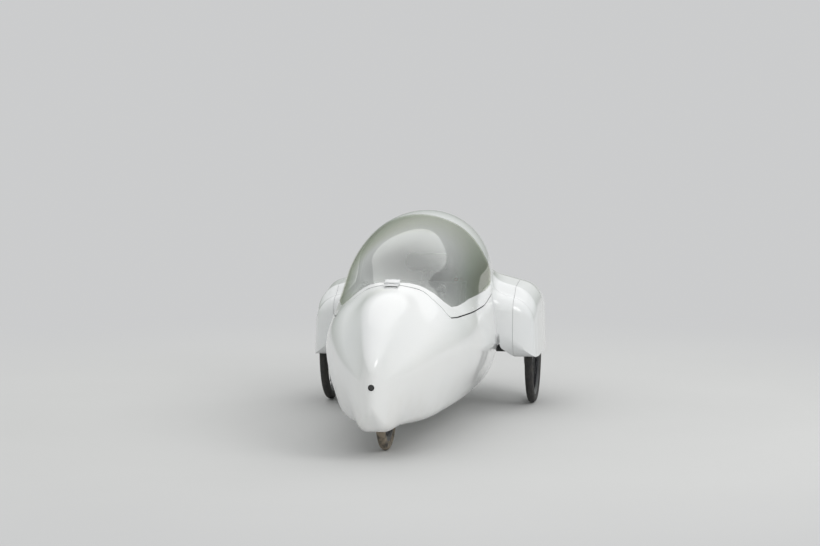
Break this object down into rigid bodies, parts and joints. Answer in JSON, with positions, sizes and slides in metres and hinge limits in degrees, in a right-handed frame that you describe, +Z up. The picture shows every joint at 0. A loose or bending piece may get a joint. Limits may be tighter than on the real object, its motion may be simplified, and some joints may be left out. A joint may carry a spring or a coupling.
{
  "type": "velomobile",
  "caption": "Fully faired three wheeled pedal vehicle with a bubble canopy that lifts at the nose, a steered wheel under the nose and rear wheels in side pods.",
  "frame": {"origin": "on the ground, midway along the length, on the centre line", "axes": "+Y towards the tail, nose towards -Y, +X towards the vehicle's left, +Z up"},
  "size_m": [1.006, 2.84, 0.892],
  "materials": {
    "shell_white": "gloss",
    "clear_acrylic": "polished",
    "hinge_steel": "satin",
    "tyre_rubber": "matte",
    "rim_alloy": "satin",
    "hub_alloy": "satin",
    "axle_steel": "satin",
    "frame_black": "satin",
    "grip_rubber": "matte",
    "pedal_plastic": "matte",
    "seat_composite": "satin",
    "seat_fabric": "woven",
    "lamp_black": "matte",
    "lamp_red": "gloss"
  },
  "bodies": {
    "chassis": {"body_shell": "shell_white", "left_wheel_fairing": "shell_white", "right_wheel_fairing": "shell_white", "left_wing": "shell_white", "right_wing": "shell_white", "canopy_hinge_base": "hinge_steel", "spine_frame": "frame_black", "left_stub_axle": "axle_steel", "left_axle_plate": "frame_black", "right_axle_plate": "frame_black", "left_caliper": "hub_alloy", "right_caliper": "hub_alloy", "seat_shell": "seat_composite", "seat_pad": "seat_fabric", "seat_struts": "frame_black", "headrest": "seat_fabric", "headrest_bracket": "frame_black", "headlight": "lamp_black", "tail_light": "lamp_red", "chain": "axle_steel", "front_high_idler": "pedal_plastic", "rear_high_idler": "pedal_plastic", "front_low_idler": "pedal_plastic", "rear_low_idler": "pedal_plastic"},
    "canopy": {"canopy_frame": "shell_white", "canopy_glass": "clear_acrylic", "canopy_hinge_leaf": "hinge_steel", "left_mirror_plate": "shell_white", "right_mirror_plate": "shell_white"},
    "steered_fork": {"fork": "frame_black", "front_axle": "axle_steel", "steering_arm": "frame_black"},
    "front_wheel": {"front_tyre": "tyre_rubber", "front_rim": "rim_alloy", "front_hub": "hub_alloy"},
    "bar_and_column": {"bar_column": "frame_black", "column_arm": "frame_black", "handlebar": "frame_black", "left_grip": "grip_rubber", "right_grip": "grip_rubber", "left_brake_lever": "hub_alloy", "right_brake_lever": "hub_alloy"},
    "drag_link": {"steering_link": "frame_black"},
    "left_rear_wheel": {"left_tyre": "tyre_rubber", "left_rim": "rim_alloy", "left_hub": "hub_alloy", "left_disc": "axle_steel"},
    "right_rear_wheel": {"right_tyre": "tyre_rubber", "right_rim": "rim_alloy", "right_hub": "hub_alloy", "right_disc": "axle_steel", "drive_shaft": "axle_steel", "drive_sprocket": "axle_steel"},
    "crank": {"crankset": "hub_alloy", "chainring": "hub_alloy"},
    "left_pedal_body": {"left_pedal": "pedal_plastic"},
    "right_pedal_body": {"right_pedal": "pedal_plastic"}
  },
  "joints": [
    {"name": "steering", "type": "hinge", "parent": "chassis", "child": "steered_fork", "pos_m": [0, -1.003, 0.2145], "axis": [0, 0.2588, 0.9659], "range_deg": [-16, 16]},
    {"name": "bar_turn", "type": "hinge", "parent": "chassis", "child": "bar_and_column", "pos_m": [0, -0.66, 0.28], "axis": [0, 0.2588, 0.9659], "range_deg": [-16, 16]},
    {"name": "link_pivot", "type": "hinge", "parent": "bar_and_column", "child": "drag_link", "pos_m": [0.045, -0.66, 0.28], "axis": [0, 0.2588, 0.9659], "range_deg": [-16, 16]},
    {"name": "front_wheel_spin", "type": "hinge", "parent": "steered_fork", "child": "front_wheel", "pos_m": [0, -1.003, 0.2145], "axis": [1, 0, 0], "continuous": true},
    {"name": "left_wheel_spin", "type": "hinge", "parent": "chassis", "child": "left_rear_wheel", "pos_m": [0.46, 0.457, 0.243], "axis": [1, 0, 0], "continuous": true},
    {"name": "right_wheel_spin", "type": "hinge", "parent": "chassis", "child": "right_rear_wheel", "pos_m": [-0.46, 0.457, 0.243], "axis": [1, 0, 0], "continuous": true},
    {"name": "canopy_hinge", "type": "hinge", "parent": "chassis", "child": "canopy", "pos_m": [0, -0.848, 0.654], "axis": [1, 0, 0], "range_deg": [0, 70]},
    {"name": "crank_spin", "type": "hinge", "parent": "chassis", "child": "crank", "pos_m": [0, -0.78, 0.42], "axis": [1, 0, 0], "continuous": true},
    {"name": "left_pedal_spin", "type": "hinge", "parent": "crank", "child": "left_pedal_body", "pos_m": [0.112, -0.655, 0.42], "axis": [1, 0, 0], "continuous": true},
    {"name": "right_pedal_spin", "type": "hinge", "parent": "crank", "child": "right_pedal_body", "pos_m": [-0.112, -0.905, 0.42], "axis": [1, 0, 0], "continuous": true}
  ],
  "couplings": [
    {"joint": "bar_turn", "follows": "steering", "ratio": 1},
    {"joint": "link_pivot", "follows": "steering", "ratio": -1}
  ]
}
